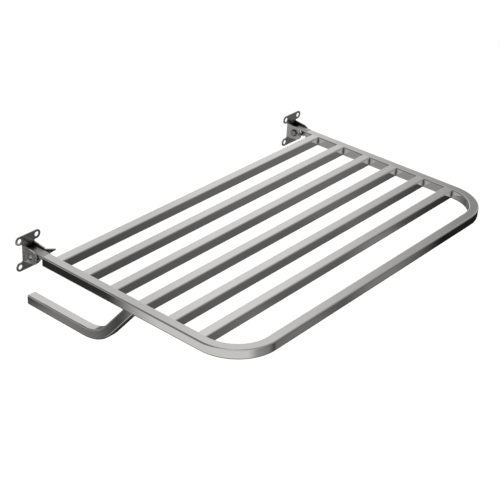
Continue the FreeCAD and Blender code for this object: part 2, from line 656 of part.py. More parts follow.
def stop_pin(side, word):
    """The pin under the knuckle's neck that holds the rack level."""
    name = f"{word}_stop_pin"
    low_end = f"-({CHEEK_OUTER} + stop_proud)" if side < 0 else f"-{CHEEK_OUTER}"
    body = new_body(name, x=f"{side} * {ARM_CENTRE}", y=f"-{STOP_FROM_WALL}")
    section = new_sketch(body, "YZ_Plane", f"{name}_section", out=low_end)
    circle(section, "0 * stop_diameter", "0 * stop_diameter", "stop_diameter / 2")
    pad(body, section, f"{name}_pad", f"2 * {CHEEK_OUTER} + stop_proud")
    end = side * number(f"{CHEEK_OUTER} + stop_proud")
    dress_edges(
        body, "Chamfer", f"{name}_bevel", "Size", "stop_chamfer", lambda p: abs(p.x - end) < SAME_PLACE
    )
    return body


# ---- the whole -----------------------------------------------------------------------------

parts = [frame_tube()]
parts += [slat(index) for index in range(round(number("slat_count")))]
parts += [slat_welds(), hook_rail(), hook_end_cap(), hook_weld()]
for side, word in ((-1, "left"), (1, "right")):
    parts += [wall_bracket(side, word), pivot_pin(side, word), pivot_nut(side, word)]
    parts += washers(side, word)
    parts += [stop_pin(side, word), knuckle(side, word)]

document.recompute()

for item in document.Objects:
    if "Invalid" in item.State or "Error" in item.State:
        raise ValueError(f"{item.Label} failed: {item.State}")
for item in parts:
    if item.Shape.isNull() or not item.Shape.isValid():
        raise ValueError(f"{item.Label} has no valid shape")

os.makedirs("parts", exist_ok=True)
for item in parts:
    item.Shape.exportStep(f"parts/{item.Label}.step")
    print(f"{item.Label}: {len(item.Shape.Solids)} solid(s), {item.Shape.Volume / 1000:.2f} cm3")
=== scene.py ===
"""A fold-up towel rack in satin-polished stainless steel: its finished surfaces, materials and studio."""

import math

import bmesh
import bpy
import numpy as np
from mathutils import Matrix, Vector


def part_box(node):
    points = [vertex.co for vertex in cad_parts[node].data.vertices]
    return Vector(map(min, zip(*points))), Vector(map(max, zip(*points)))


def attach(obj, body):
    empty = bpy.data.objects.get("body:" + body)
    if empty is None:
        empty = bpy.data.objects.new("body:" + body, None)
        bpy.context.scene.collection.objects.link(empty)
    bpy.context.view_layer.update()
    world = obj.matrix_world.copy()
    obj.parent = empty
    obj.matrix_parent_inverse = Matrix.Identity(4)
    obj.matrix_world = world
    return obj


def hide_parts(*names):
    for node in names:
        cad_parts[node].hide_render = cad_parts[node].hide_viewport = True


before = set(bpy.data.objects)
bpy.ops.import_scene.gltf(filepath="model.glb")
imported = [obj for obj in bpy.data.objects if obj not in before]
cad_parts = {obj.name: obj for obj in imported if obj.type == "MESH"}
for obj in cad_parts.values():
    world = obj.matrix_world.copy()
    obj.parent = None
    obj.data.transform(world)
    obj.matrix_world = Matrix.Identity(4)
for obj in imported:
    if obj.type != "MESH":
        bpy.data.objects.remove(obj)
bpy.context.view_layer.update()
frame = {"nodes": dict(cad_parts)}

bl_info = {
    "name": "Fold-up towel rack",
    "version": (1, 0, 0),
    "blender": (4, 5, 0),
    "location": "3D Viewport > Sidebar > Towel rack",
    "description": "Builds the surfaces, steels and studio of a fold-up towel rack round its CAD frame",
    "category": "Add Mesh",
}

MM = 0.001
# Rolled edges of the welds, of the turned parts, of the washers and of the end cap's rim.
WELD_ROLL = 0.15 * MM
TURNED_ROLL = 0.2 * MM
WASHER_ROLL = 0.15 * MM
CAP_ROLL = 0.9 * MM
# From a flat face's end to its last point, so that shading stays flat up to the rounding.
GUARD = 0.2 * MM
SIDES = ("left", "right")
SLATS = sorted(name for name in frame["nodes"] if name.startswith("slat_") and name != "slat_welds")


# ---- colours and nodes ---------------------------------------------------------------------


def linear(hex_code):
    """An sRGB hex colour as linear red, green and blue."""
    parts = [int(hex_code[i:i + 2], 16) / 255 for i in (1, 3, 5)]
    return tuple(c / 12.92 if c <= 0.04045 else ((c + 0.055) / 1.055) ** 2.4 for c in parts)


def rgba(colour):
    """A colour with full opacity."""
    return (*colour[:3], 1.0)


def add_node(tree, kind, settings=None, links=None, **values):
    """A shader node with its attributes set, its sockets filled by name and its inputs linked."""
    node = tree.nodes.new(kind)
    for name, value in (settings or {}).items():
        setattr(node, name, value)
    for name, value in values.items():
        node.inputs[name.replace("_", " ")].default_value = value
    for name, source in (links or {}).items():
        tree.links.new(source, node.inputs[name])
    return node


def fill_ramp(node, stops):
    """Set a Color Ramp node's stops from (position, grey) pairs."""
    elements = node.color_ramp.elements
    while len(elements) > 1:
        elements.remove(elements[-1])
    for index, (position, grey) in enumerate(stops):
        stop = elements[0] if index == 0 else elements.new(position)
        stop.position = position
        stop.color = (grey, grey, grey, 1.0)


def new_material(name):
    """An empty node material with an output node."""
    material = bpy.data.materials.new(name)
    material.use_nodes = True
    material.node_tree.nodes.clear()
    output = add_node(material.node_tree, "ShaderNodeOutputMaterial")
    return material, material.node_tree, output


# ---- settings a user would change ------------------------------------------------------------


def length(label, words, default):
    """A length property given in millimetres and kept in metres."""
    return bpy.props.FloatProperty(
        name=label, description=words, default=default * MM, min=0.0, unit="LENGTH", subtype="DISTANCE"
    )


def colour(label, words, hex_code):
    """A colour property from an sRGB hex value."""
    return bpy.props.FloatVectorProperty(
        name=label, description=words, default=linear(hex_code), size=3, min=0.0, max=1.0, subtype="COLOR"
    )


class TowelRackSizes(bpy.types.PropertyGroup):
    """Sizes of the tubes and sheets that the frame's boxes don't give."""

    edge_radius: length("Tube edge radius", "Rounding of the square tube's long edges", 2.0)
    wall: length("Tube wall", "Thickness of the square tube's wall", 1.5)
    bend_radius: length("Bend radius", "Centre-line radius of every bend", 61.0)
    rail_corner: length("Rail corner", "Wall to where the hanging rail's centre lines cross", 145.8)
    rail_join: length("Rail join", "Wall to where the rail's link meets the arm's centre line", 207.5)
    sheet_edge: length("Sheet edge roll", "Rounding of the bracket sheet's sheared edges", 0.35)
    arc_steps: bpy.props.IntProperty(
        name="Arc steps", description="Faces round each quarter of a tube's edge", default=8, min=2, max=24
    )


class TowelRackFinish(bpy.types.PropertyGroup):
    """Colours of the steels and the washers."""

    frame: colour("Frame", "Satin-polished 304 stainless steel tube of the bent frame", "#CAC9C7")
    tube: colour("Tube", "Satin-polished 304 stainless steel tube", "#D6D5D3")
    sheet: colour("Sheet", "Bent 304 stainless steel sheet", "#C2C1BF")
    knuckle: colour("Knuckles", "Tumbled stainless steel knuckles", "#A8A7A5")
    turned: colour("Turned parts", "Turned stainless steel pins and nuts", "#9D9C9A")
    nylon: colour("Washers", "Natural nylon", "#E4E2DA")
    floor: colour("Floor", "Plain pale floor", "#F4F4F4")


class TowelRackStage(bpy.types.PropertyGroup):
    """The camera and the studio."""

    azimuth: bpy.props.FloatProperty(
        name="Azimuth", description="Camera's bearing round the rack",
        default=math.radians(-51.579), unit="ROTATION",
    )
    elevation: bpy.props.FloatProperty(
        name="Elevation", description="Camera's height angle", default=math.radians(30.0), unit="ROTATION",
    )
    roll: bpy.props.FloatProperty(
        name="Roll", description="Camera's tilt about its own axis",
        default=math.radians(3.491), unit="ROTATION",
    )
    position: bpy.props.FloatVectorProperty(
        name="Position", description="Camera's place",
        default=(-1.31102, -1.20018, 0.91325), subtype="TRANSLATION",
    )
    lens: bpy.props.FloatProperty(
        name="Lens", description="Focal length in millimetres, on a 36 mm sensor", default=93.1, min=1.0
    )
    floor_drop: length("Floor drop", "Rack's origin down to the floor", 1150.0)
    brightness: bpy.props.FloatProperty(
        name="Brightness", description="Strength of the soft light all round", default=1.12, min=0.0
    )


# ---- surfaces ----------------------------------------------------------------------------------


def grid_object(name, grid, around_closed=True, along_closed=False):
    """A mesh object from a grid of points (stations along, points around).

    Each cell of the grid is one four-sided face. The UV map holds the distance along the grid and
    the distance around it, in metres, so that a pattern can follow the surface.
    """
    rows, columns = grid.shape[:2]
    step_rows = np.arange(rows if along_closed else rows - 1)
    step_columns = np.arange(columns if around_closed else columns - 1)
    i, j = (block.ravel() for block in np.meshgrid(step_rows, step_columns, indexing="ij"))
    next_i, next_j = (i + 1) % rows, (j + 1) % columns
    here, onward = i * columns, next_i * columns
    faces = np.stack([here + j, onward + j, onward + next_j, here + next_j], 1)
    mesh = bpy.data.meshes.new(name)
    mesh.from_pydata(grid.reshape(-1, 3).tolist(), [], faces.tolist())
    closed = np.concatenate([grid, grid[:1]], 0)
    along = np.concatenate([[0.0], np.cumsum(np.linalg.norm(np.diff(closed, axis=0), axis=2).mean(1))])
    ring = np.concatenate([grid, grid[:, :1]], 1)
    around = np.concatenate([[0.0], np.cumsum(np.linalg.norm(np.diff(ring, axis=1), axis=2).mean(0))])
    corners = [(i, j), (i + 1, j), (i + 1, j + 1), (i, j + 1)]
    uv = np.stack([np.stack([along[a], around[b]], 1) for a, b in corners], 1)
    layer = mesh.uv_layers.new(name="along_and_around")
    layer.data.foreach_set("uv", uv.reshape(-1).astype(np.float32))
    return finish_mesh(name, mesh, sharp=35.0)


def finish_mesh(name, mesh, sharp):
    """Smooth the mesh but where it turns by more than sharp degrees, and put it at the origin."""
    mesh.validate()
    mesh.polygons.foreach_set("use_smooth", np.ones(len(mesh.polygons), bool))
    mesh.set_sharp_from_angle(angle=math.radians(sharp))
    piece = bpy.data.objects.new(name, mesh)
    bpy.context.scene.collection.objects.link(piece)
    return piece


def merge_points(piece):
    """Join points that lie on each other, such as a grid's pole, and turn the faces outwards."""
    shape = bmesh.new()
    shape.from_mesh(piece.data)
    bmesh.ops.remove_doubles(shape, verts=shape.verts, dist=1e-7)
    bmesh.ops.recalc_face_normals(shape, faces=shape.faces)
    shape.to_mesh(piece.data)
    shape.free()


def tube_outline(side, radius, steps):
    """A square with round corners, anticlockwise, as points (across, up).

    Each corner is a quarter circle about a point one radius inside both faces, with one more
    point a little way along each face, so that the shading stays flat on the faces.
    """
    flat = side / 2 - radius
    guard = flat - GUARD
    turn = np.linspace(0, math.pi / 2, steps + 1)
    quarter = np.stack([flat + radius * np.cos(turn), flat + radius * np.sin(turn)], 1)
    quarter = np.vstack([[side / 2, guard], quarter, [guard, side / 2]])
    corners = []
    for quarter_turn in range(4):
        c, s = math.cos(quarter_turn * math.pi / 2), math.sin(quarter_turn * math.pi / 2)
        corners.append(quarter @ np.array([[c, s], [-s, c]]))
    return np.vstack(corners)


def rounded_path(corners, radius, step=math.radians(2.5)):
    """A flat path of straight runs joined by arcs of one radius, as points and unit directions.

    At each inner corner the arc starts and ends at radius times the tangent of half the turn
    from the corner, about the point that lies one radius to the inside of both runs.
    """
    corners = np.array(corners, float)
    runs = np.diff(corners, axis=0)
    runs /= np.linalg.norm(runs, axis=1)[:, None]
    points, headings = [corners[0]], [runs[0]]
    for corner, arrive, leave in zip(corners[1:], runs, runs[1:]):
        turn = math.atan2(arrive[0] * leave[1] - arrive[1] * leave[0], arrive @ leave)
        start = corner - arrive * radius * math.tan(abs(turn) / 2)
        normal = np.array([-arrive[1], arrive[0]]) * math.copysign(1.0, turn)
        count = max(2, round(abs(turn) / step))
        for angle in np.linspace(0, abs(turn), count + 1):
            points.append(start + radius * (arrive * math.sin(angle) + normal * (1 - math.cos(angle))))
            headings.append(arrive * math.cos(angle) + normal * math.sin(angle))
    points.append(corners[-1])
    headings.append(runs[-1])
    return np.array(points), np.array(headings)


def carry(outline, centres, across, upward):
    """An outline carried along a path: each point is centre + x * across + y * upward."""
    return (
        centres[:, None, :]
        + outline[None, :, :1] * across[:, None, :]
        + outline[None, :, 1:] * upward[:, None, :]
    )


def hollow(outer, bore):
    """One closed skin from a tube's outside and its bore: out along one, back along the other."""
    return np.concatenate([outer, bore[::-1]], 0)


def corner_reach(distance, half, radius):
    """How far behind a square tube's face its surface lies, at a distance from its centre line.

    It is nothing on the flat, and on the rounded edge it is radius minus the quarter circle's
    height there.
    """
    over = np.clip(np.abs(distance) - (half - radius), 0, radius)
    return radius - np.sqrt(radius ** 2 - over ** 2)


def refined_copy(node, name, roll):
    """A copy of a CAD node's mesh with merged points, whole flat faces and rolled edges."""
    mesh = frame["nodes"][node].data.copy()
    shape = bmesh.new()
    shape.from_mesh(mesh)
    bmesh.ops.remove_doubles(shape, verts=shape.verts, dist=1e-6)
    bmesh.ops.dissolve_limit(shape, angle_limit=math.radians(0.4), verts=shape.verts, edges=shape.edges)
    shape.to_mesh(mesh)
    shape.free()
    mesh.materials.clear()
    piece = finish_mesh(name, mesh, sharp=30.0)
    bevel = piece.modifiers.new("rolled_edges", "BEVEL")
    bevel.width = roll
    bevel.segments = 3
    bevel.limit_method = "ANGLE"
    bevel.angle_limit = math.radians(32)
    bevel.harden_normals = True
    return piece


def settle(piece, material, body, slot, *nodes):
    """Give a piece its material and its body, and hide the CAD nodes that it stands for; slot is not used."""
    piece.data.materials.clear()
    piece.data.materials.append(material)
    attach(piece, body)
    if nodes:
        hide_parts(*nodes)


# ---- materials -------------------------------------------------------------------------------


def with_painted_shade(tree, tint, reach, closed, darkest):
    """A metal's colour with painted shade: darker in corners and gaps, where shade falls.

    Openness is the share of a hemisphere of radius reach (metres) that nothing stands in. The
    colour is the tint times a value that rises from darkest, where openness is closed or less,
    to one where it is 0.85 or more.
    """
    # Painted shade: ambient occlusion darkens the tint in corners and gaps.
    openness = add_node(tree, "ShaderNodeAmbientOcclusion", {"samples": 8}, Distance=reach)
    painted_shade_factor = add_node(
        tree, "ShaderNodeMapRange", links={"Value": openness.outputs["AO"]},
        From_Min=closed, From_Max=0.85, To_Min=darkest, To_Max=1.0,
    )
    shade_painted_tint = add_node(tree, "ShaderNodeMix", {"data_type": "RGBA", "blend_type": "MULTIPLY"}, Factor=1.0)
    shade_painted_tint.inputs[6].default_value = rgba(tint)
    tree.links.new(painted_shade_factor.outputs[0], shade_painted_tint.inputs[7])
    return shade_painted_tint.outputs[2]


def satin_tube_steel(name, tint):
    """304 stainless tube, drawn and belt-polished along its length.

    The belt leaves hair lines along the tube: they spread a reflection across the tube and keep
    it crisp along it, and hands and cloths leave slow, faint changes of gloss.
    """
    material, tree, output = new_material(name)
    place = add_node(tree, "ShaderNodeUVMap", {"uv_map": "along_and_around"})
    # Hair lines 0.35 mm apart across and some 60 mm long; a real belt's are finer than shows.
    across, along = 1 / (0.35 * MM), 1 / (60 * MM)
    stretch = add_node(
        tree, "ShaderNodeMapping", links={"Vector": place.outputs["UV"]}, Scale=(along, across, 1)
    )
    lines = add_node(tree, "ShaderNodeTexNoise", links={"Vector": stretch.outputs[0]}, Scale=1.0, Detail=3.0)
    # Patches of handling 40 mm across.
    patches = add_node(tree, "ShaderNodeTexNoise", links={"Vector": place.outputs["UV"]}, Scale=1 / (40 * MM))
    gloss = add_node(
        tree, "ShaderNodeMapRange", links={"Value": lines.outputs["Fac"]}, To_Min=0.02, To_Max=0.055
    )
    worn = add_node(
        tree, "ShaderNodeMapRange", links={"Value": patches.outputs["Fac"]}, To_Min=-0.02, To_Max=0.03
    )
    rough = add_node(tree, "ShaderNodeMath", {"operation": "ADD"}, {0: gloss.outputs[0], 1: worn.outputs[0]})
    relief = add_node(
        tree, "ShaderNodeBump", links={"Height": lines.outputs["Fac"]}, Strength=0.012, Distance=0.05 * MM
    )
    grain = add_node(tree, "ShaderNodeTangent", {"direction_type": "UV_MAP", "uv_map": "along_and_around"})
    # Painted shade: the tint is darkened in corners and gaps, where shade falls.
    shade_painted_tint = with_painted_shade(tree, tint, reach=8 * MM, closed=0.45, darkest=0.15)
    surface = add_node(
        tree, "ShaderNodeBsdfPrincipled",
        links={
            "Base Color": shade_painted_tint, "Roughness": rough.outputs[0],
            "Normal": relief.outputs[0], "Tangent": grain.outputs[0],
        },
        Metallic=1.0, Anisotropic=0.2, Anisotropic_Rotation=0.25,
    )
    tree.links.new(surface.outputs[0], output.inputs["Surface"])
    return material


def brushed_steel(name, tint, grain_mm, low, high):
    """304 stainless with a fine cloudy polish that has no direction, on object coordinates.

    The polish's grains are grain_mm apart, and its roughness runs from low to high with them.
    """
    material, tree, output = new_material(name)
    place = add_node(tree, "ShaderNodeTexCoord")
    grit = add_node(
        tree, "ShaderNodeTexNoise", links={"Vector": place.outputs["Object"]},
        Scale=1 / (grain_mm * MM), Detail=4.0,
    )
    clouds = add_node(
        tree, "ShaderNodeTexNoise", links={"Vector": place.outputs["Object"]}, Scale=1 / (9 * MM), Detail=2.0
    )
    blend = add_node(
        tree, "ShaderNodeMath", {"operation": "MULTIPLY"}, {0: grit.outputs["Fac"], 1: clouds.outputs["Fac"]}
    )
    rough = add_node(
        tree, "ShaderNodeMapRange", links={"Value": blend.outputs[0]}, From_Max=0.5, To_Min=low, To_Max=high
    )
    relief = add_node(
        tree, "ShaderNodeBump", links={"Height": grit.outputs["Fac"]}, Strength=0.08, Distance=0.05 * MM
    )
    # Painted shade: the tint is darkened in corners and gaps, where shade falls.
    shade_painted_tint = with_painted_shade(tree, tint, reach=9 * MM, closed=0.35, darkest=0.05)
    surface = add_node(
        tree, "ShaderNodeBsdfPrincipled",
        links={"Base Color": shade_painted_tint, "Roughness": rough.outputs[0], "Normal": relief.outputs[0]},
        Metallic=1.0,
    )
    tree.links.new(surface.outputs[0], output.inputs["Surface"])
    return material


def natural_nylon(name, tint):
    """Moulded natural nylon: a slightly translucent, waxy off-white."""
    material, tree, output = new_material(name)
    place = add_node(tree, "ShaderNodeTexCoord")
    skin = add_node(tree, "ShaderNodeTexNoise", links={"Vector": place.outputs["Object"]}, Scale=1 / (0.8 * MM))
    rough = add_node(tree, "ShaderNodeMapRange", links={"Value": skin.outputs["Fac"]}, To_Min=0.35, To_Max=0.5)
    surface = add_node(
        tree, "ShaderNodeBsdfPrincipled", links={"Roughness": rough.outputs[0]},
        Base_Color=rgba(tint), IOR=1.53, Subsurface_Weight=0.15, Subsurface_Radius=(0.002, 0.002, 0.0015),
    )
    tree.links.new(surface.outputs[0], output.inputs["Surface"])
    return material


def floor_paint(name, tint):
    """Matt pale floor paint."""
    material, tree, output = new_material(name)
    place = add_node(tree, "ShaderNodeTexCoord")
    # Three of the roller's laps to the metre.
    mottle = add_node(tree, "ShaderNodeTexNoise", links={"Vector": place.outputs["Object"]}, Scale=3.0)
    rough = add_node(
        tree, "ShaderNodeMapRange", links={"Value": mottle.outputs["Fac"]}, To_Min=0.85, To_Max=0.95
    )
    surface = add_node(
        tree, "ShaderNodeBsdfPrincipled", links={"Roughness": rough.outputs[0]}, Base_Color=rgba(tint)
    )
    tree.links.new(surface.outputs[0], output.inputs["Surface"])
    return material


def shared(name, make, tint, **values):
    """The material of that name, made by make from its tint the first time that it is asked for."""
    return bpy.data.materials.get(name) or make(name, tint, **values)


def frame_material(context):
    """The bent frame's steel, a shade darker than the straight tubes'."""
    return shared("satin_polished_304_bent_tube", satin_tube_steel, context.scene.towel_rack_finish.frame)


def tube_material(context):
    """The slats' and the hanging rail's steel."""
    return shared("satin_polished_304_tube", satin_tube_steel, context.scene.towel_rack_finish.tube)


def sheet_material(context):
    """The brackets' steel in the chosen colour."""
    tint = context.scene.towel_rack_finish.sheet
    return shared("polished_304_sheet", brushed_steel, tint, grain_mm=0.4, low=0.15, high=0.26)


def knuckle_material(context):
    """The knuckles' steel, tumbled and left duller than the sheet."""
    tint = context.scene.towel_rack_finish.knuckle
    return shared("tumbled_304_knuckle", brushed_steel, tint, grain_mm=0.6, low=0.3, high=0.45)


def turned_material(context):
    """The pins' and nuts' steel in the chosen colour."""
    tint = context.scene.towel_rack_finish.turned
    return shared("turned_304_bar", brushed_steel, tint, grain_mm=0.25, low=0.16, high=0.3)


def weld_material(context):
    """The dressed welds' steel, duller than the tubes."""
    tint = context.scene.towel_rack_finish.tube
    return shared("dressed_304_weld", brushed_steel, tint, grain_mm=0.5, low=0.24, high=0.38)


# ---- the studio's cards -----------------------------------------------------------------------


# Rows of cards round the rack, from the top down: the sines of the heights between which a row
# fades into the next, and its cards as (bearing in degrees from +X towards +Y, brightness).
CARD_ROWS = (
    (
        (0.08, -0.12),
        (
            (-180, 0.8), (-110, 0.7), (-60, 0.35), (-28, 0.3), (-10, 0.55), (5, 0.75), (15, 0.7),
            (22, 0.36), (27.5, 0.36), (29, 0.5), (31.4, 0.61), (33.9, 0.77), (36.8, 0.9), (41, 0.9),
            (44, 0.76), (48, 0.84), (60, 0.7), (78, 0.4), (105, 0.18), (128, 0.2), (137, 0.42),
            (143, 0.22), (155, 0.2), (180, 0.6),
        ),
    ),
    (
        (-0.47, -0.485),
        (
            (-180, 0.9), (-110, 0.9), (-88, 0.35), (-56, 0.1), (-42, 0.16), (-35, 0.2), (-33.5, 0.18),
            (-32, 0.13), (-30.5, 0.075), (-29, 0.03), (-25, 0.015), (40, 0.02), (52, 0.15), (62, 0.25),
            (82, 0.15), (102, 0.22), (122, 0.34), (141, 0.46), (155, 0.38), (170, 0.8), (180, 0.9),
        ),
    ),
    (
        (-0.53, -0.545),
        (
            (-180, 0.9), (-110, 0.9), (-88, 0.3), (-60, 0.1), (-49, 0.07), (-41, 0.15), (-37, 0.14),
            (-35, 0.15), (-33.5, 0.14), (-32.5, 0.27), (-31, 0.29), (-29.9, 0.25), (-29.3, 0.12),
            (-28.7, 0.06), (-28.2, 0.01), (60, 0.02), (125, 0.03), (135.4, 0.035), (136.2, 0.45),
            (137.2, 0.9), (180, 0.9),
        ),
    ),
    (
        (-0.62, -0.72),
        (
            (-180, 0.92), (-110, 0.92), (-88, 0.42), (-60, 0.3), (-46, 0.1), (-41, 0.13), (-36.5, 0.26),
            (-34, 0.2), (-31, 0.27), (-29.8, 0.22), (-28.6, 0.03), (-25, 0.01), (60, 0.02), (120, 0.3),
            (133.4, 0.26), (134.4, 0.035), (135.4, 0.035), (136.2, 0.45), (137.2, 0.9), (180, 0.92),
        ),
    ),
    (
        None,
        (
            (-180, 0.15), (-60, 0.1), (0, 0.02), (100, 0.04), (180, 0.15),
        ),
    ),
)


# ---- operators -------------------------------------------------------------------------------


class RackOperator:
    """What the operators of the rack share."""

    bl_options = {"REGISTER", "UNDO"}

    @staticmethod
    def tube(context):
        """Side, edge radius, outline and bore of the square tube."""
        sizes = context.scene.towel_rack_sizes
        lowest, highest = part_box("frame_tube")
        side = highest.z - lowest.z
        outline = tube_outline(side, sizes.edge_radius, sizes.arc_steps)
        bore = tube_outline(side - 2 * sizes.wall, sizes.edge_radius - sizes.wall, sizes.arc_steps)
        return side, sizes.edge_radius, outline, bore


class TOWELRACK_OT_frame_tube(RackOperator, bpy.types.Operator):
    """Build the bent tube that is both side arms and the front bar"""

    bl_idname = "towelrack.frame_tube"
    bl_label = "Frame tube"

    def execute(self, context):
        side, _, outline, bore = self.tube(context)
        lowest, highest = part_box("frame_tube")
        x, rear, front = highest.x - side / 2, highest.y, lowest.y + side / 2
        corners = [(-x, rear), (-x, front), (x, front), (x, rear)]
        points, headings = rounded_path(corners, context.scene.towel_rack_sizes.bend_radius)
        centres = np.column_stack([points, np.zeros(len(points))])
        across = np.column_stack([headings[:, 1], -headings[:, 0], np.zeros(len(points))])
        upward = np.tile([0.0, 0.0, 1.0], (len(points), 1))
        skin = hollow(carry(outline, centres, across, upward), carry(bore, centres, across, upward))
        piece = grid_object("bent_frame_tube", skin, along_closed=True)
        settle(piece, frame_material(context), "rack", "tube_steel", "frame_tube")
        return {"FINISHED"}


class TOWELRACK_OT_slats(RackOperator, bpy.types.Operator):
    """Build the straight slats, their ends coped over the arms' rounded edges"""

    bl_idname = "towelrack.slats"
    bl_label = "Slats"

    def execute(self, context):
        side, edge, outline, bore = self.tube(context)
        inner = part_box("frame_tube")[1].x - side
        stations = np.linspace(-1, 1, 13)
        for node in SLATS:
            lowest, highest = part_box(node)
            y = (lowest.y + highest.y) / 2
            rings = []
            for section in (outline, bore):
                # x runs from -1 to 1 times the distance at which the arm's surface stands there.
                reach = inner + corner_reach(section[:, 1], side / 2, edge)
                ring = np.empty((len(stations), len(section), 3))
                ring[:, :, 0] = stations[:, None] * reach[None, :]
                ring[:, :, 1] = y - section[None, :, 0]
                ring[:, :, 2] = section[None, :, 1]
                rings.append(ring)
            piece = grid_object(f"coped_{node}", hollow(*rings), along_closed=True)
            settle(piece, tube_material(context), "rack", "tube_steel", node)
        return {"FINISHED"}


class TOWELRACK_OT_hanging_rail(RackOperator, bpy.types.Operator):
    """Build the bent hanging rail under the left arm, and the cap in its free end"""

    bl_idname = "towelrack.hanging_rail"
    bl_label = "Hanging rail"

    def execute(self, context):
        sizes = context.scene.towel_rack_sizes
        side, edge, outline, bore = self.tube(context)
        lowest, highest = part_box("hook_rail")
        x, z = (lowest.x + highest.x) / 2, lowest.z + side / 2
        corners = [(highest.y, z), (-sizes.rail_corner, z), (-sizes.rail_join, 0.0)]
        points, headings = rounded_path(corners, sizes.bend_radius)
        centres = np.column_stack([np.full(len(points), x), points])
        across = np.column_stack([np.zeros(len(points)), -headings[:, 1], headings[:, 0]])
        sideways = np.tile([1.0, 0.0, 0.0], (len(points), 1))
        rings = []
        for section in (outline, bore):
            ring = carry(section, centres, sideways, across)
            # The top ring is drawn back along the link until it lies on the arm's underside.
            top = -side / 2 + corner_reach(ring[-1, :, 0] - x, side / 2, edge)
            heading = np.array([0.0, headings[-1][0], headings[-1][1]])
            ring[-1] += heading[None, :] * ((top - ring[-1, :, 2]) / heading[2])[:, None]
            rings.append(ring)
        piece = grid_object("bent_hanging_rail", hollow(*rings), along_closed=True)
        settle(piece, tube_material(context), "rack", "tube_steel", "hook_rail")
        self.cap(context, x, z, side, edge, sizes)
        return {"FINISHED"}

    @staticmethod
    def cap(context, x, z, side, edge, sizes):
        """The end cap: the tube's outline, with a rim rounded in to a slightly crowned face."""
        face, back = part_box("hook_end_cap")[1].y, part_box("hook_rail")[1].y
        turn = np.linspace(0, math.pi / 2, 7)[1:]
        insets = np.concatenate([[0, 0], CAP_ROLL * (1 - np.cos(turn)), [side / 4, side / 2 - 0.3 * MM]])
        depths = np.concatenate([[back, face - CAP_ROLL], face - CAP_ROLL * (1 - np.sin(turn)), [face, face]])
        rings = []
        for inset, depth in zip(insets, depths):
            ring = tube_outline(side - 2 * inset, min(edge, (side / 2 - inset) * 0.9), sizes.arc_steps)
            rings.append(np.column_stack([x - ring[:, 0], np.full(len(ring), depth), z + ring[:, 1]]))
        centre = np.tile([[x, face, z]], (len(rings[0]), 1))
        plug = np.tile([[x, back, z]], (len(rings[0]), 1))
        grid = np.array([plug, *rings, centre])
        piece = grid_object("rail_end_cap", grid)
        merge_points(piece)
        settle(piece, tube_material(context), "rack", "tube_steel", "hook_end_cap")


class TOWELRACK_OT_welds(RackOperator, bpy.types.Operator):
    """Lay the weld beads at the slats' rear corners and round the hanging rail's link"""

    bl_idname = "towelrack.welds"
    bl_label = "Welds"

    def execute(self, context):
        for node in ("slat_welds", "hook_weld"):
            piece = refined_copy(node, f"dressed_{node}", WELD_ROLL)
            settle(piece, weld_material(context), "rack", "weld_steel", node)
        return {"FINISHED"}


class TOWELRACK_OT_brackets(RackOperator, bpy.types.Operator):
    """Finish the wall brackets and the arms' knuckles with rolled edges"""

    bl_idname = "towelrack.brackets"
    bl_label = "Brackets and knuckles"

    def execute(self, context):
        roll = context.scene.towel_rack_sizes.sheet_edge
        for side in SIDES:
            plate = refined_copy(f"{side}_wall_bracket", f"{side}_bent_bracket", roll)
            settle(plate, sheet_material(context), "wall_brackets", "bracket_steel", f"{side}_wall_bracket")
            knuckle = refined_copy(f"{side}_knuckle", f"{side}_arm_knuckle", 2 * roll)
            settle(knuckle, knuckle_material(context), "rack", "bracket_steel", f"{side}_knuckle")
        return {"FINISHED"}


class TOWELRACK_OT_fasteners(RackOperator, bpy.types.Operator):
    """Finish the pivot pins, nuts, stop pins and washers"""

    bl_idname = "towelrack.fasteners"
    bl_label = "Pins, nuts and washers"

    def execute(self, context):
        nylon = shared("moulded_natural_nylon", natural_nylon, context.scene.towel_rack_finish.nylon)
        for side in SIDES:
            for kind in ("pivot_pin", "pivot_nut", "stop_pin"):
                piece = refined_copy(f"{side}_{kind}", f"{side}_turned_{kind}", TURNED_ROLL)
                settle(piece, turned_material(context), "wall_brackets", "pin_steel", f"{side}_{kind}")
            for place in ("outer", "inner"):
                node = f"{side}_{place}_washer"
                piece = refined_copy(node, f"{side}_{place}_nylon_washer", WASHER_ROLL)
                settle(piece, nylon, "wall_brackets", "washer_nylon", node)
        return {"FINISHED"}


